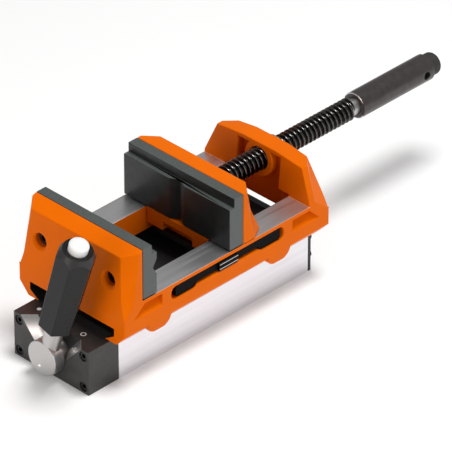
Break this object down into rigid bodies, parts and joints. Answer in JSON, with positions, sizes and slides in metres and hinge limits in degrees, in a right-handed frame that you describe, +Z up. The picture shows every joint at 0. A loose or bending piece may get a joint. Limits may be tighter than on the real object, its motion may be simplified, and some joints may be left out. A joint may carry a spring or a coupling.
{
  "type": "magnetic vise",
  "caption": "Drill-press vise on a switchable magnetic base: screw-driven jaw on slideways, lever with lock button to switch the magnet.",
  "frame": {"origin": "centre of the magnet's bottom face", "axes": "+Z up, +Y from the switch lever along the body to the spindle handle, +X across the jaws"},
  "size_m": [0.1, 0.3926, 0.1227],
  "materials": {
    "orange_paint": "gloss paint on a casting",
    "jaw_steel": "dark ground steel",
    "screw_steel": "blackened steel",
    "zinc_steel": "bright steel",
    "black_steel": "satin black",
    "bronze": "turned bronze",
    "brass_strip": "ground brass",
    "pole_steel": "ground steel",
    "block_paint": "satin black",
    "liner_plastic": "matt black",
    "catch_steel": "dark steel",
    "rotor_magnet": "dark sintered magnet",
    "shaft_steel": "ground steel",
    "hub_steel": "satin steel",
    "grip_plastic": "matt black",
    "button_plastic": "white",
    "spindle_steel": "oiled black steel",
    "handle_steel": "satin black steel"
  },
  "bodies": {
    "base": {"vise_body": "orange_paint", "fixed_jaw_plate": "jaw_steel", "fixed_jaw_screw_left": "screw_steel", "fixed_jaw_screw_right": "screw_steel", "spindle_nut": "bronze", "slot_liner_left": "liner_plastic", "slot_liner_right": "liner_plastic", "slot_catch_left": "catch_steel", "slot_catch_right": "catch_steel", "switch_block": "block_paint", "switch_block_screw_1": "screw_steel", "switch_block_screw_2": "screw_steel", "switch_block_screw_3": "screw_steel", "switch_block_screw_4": "screw_steel", "pole_shoe_left": "pole_steel", "pole_shoe_right": "pole_steel", "spacer_bottom": "brass_strip", "spacer_top": "brass_strip", "magnet_top_cover": "black_steel", "end_cover": "black_steel", "end_cover_screw_1": "black_steel", "end_cover_screw_2": "black_steel", "end_cover_screw_3": "black_steel", "end_cover_screw_4": "black_steel", "front_bush": "bronze", "back_bush": "bronze", "base_screw_1": "screw_steel", "base_screw_2": "screw_steel", "base_screw_3": "screw_steel", "base_screw_4": "screw_steel"},
    "moving_jaw": {"moving_jaw": "orange_paint", "moving_jaw_plate": "jaw_steel", "moving_jaw_screw_left": "screw_steel", "moving_jaw_screw_right": "screw_steel", "fork_plate": "black_steel", "fork_screw_1": "zinc_steel", "fork_screw_2": "zinc_steel", "fork_screw_3": "zinc_steel", "fork_screw_4": "zinc_steel", "keeper_plate": "black_steel", "keeper_screw_left": "screw_steel", "keeper_screw_right": "screw_steel"},
    "spindle": {"spindle": "spindle_steel", "spindle_handle": "handle_steel", "handle_pin": "zinc_steel"},
    "lever": {"magnet_rotor": "rotor_magnet", "rotor_shaft": "shaft_steel", "lever_hub": "hub_steel", "hub_pin": "zinc_steel", "lever_grip": "grip_plastic"},
    "lock_button": {"lock_button": "button_plastic", "lock_spring": "zinc_steel"}
  },
  "joints": [
    {"name": "jaw_slide", "type": "slide", "parent": "base", "child": "moving_jaw", "axis": [0, 1, 0], "range_m": [-0.067, 0.035]},
    {"name": "spindle_turn", "type": "hinge", "parent": "moving_jaw", "child": "spindle", "pos_m": [0, 0.1, 0.0808], "axis": [0, 1, 0], "range_deg": [-6031, 3151]},
    {"name": "lever_swing", "type": "hinge", "parent": "base", "child": "lever", "pos_m": [0, -0.1085, 0.017], "axis": [0, 1, 0], "range_deg": [-55.5, 20.5]},
    {"name": "button_press", "type": "slide", "parent": "lever", "child": "lock_button", "axis": [-0.3007, 0, -0.9537], "range_m": [0, 0.004], "stiffness_N_per_m": 600, "springref_m": -0.001}
  ],
  "couplings": [
    {"joint": "spindle_turn", "follows": "jaw_slide", "rad_per_m": 1570.8}
  ]
}
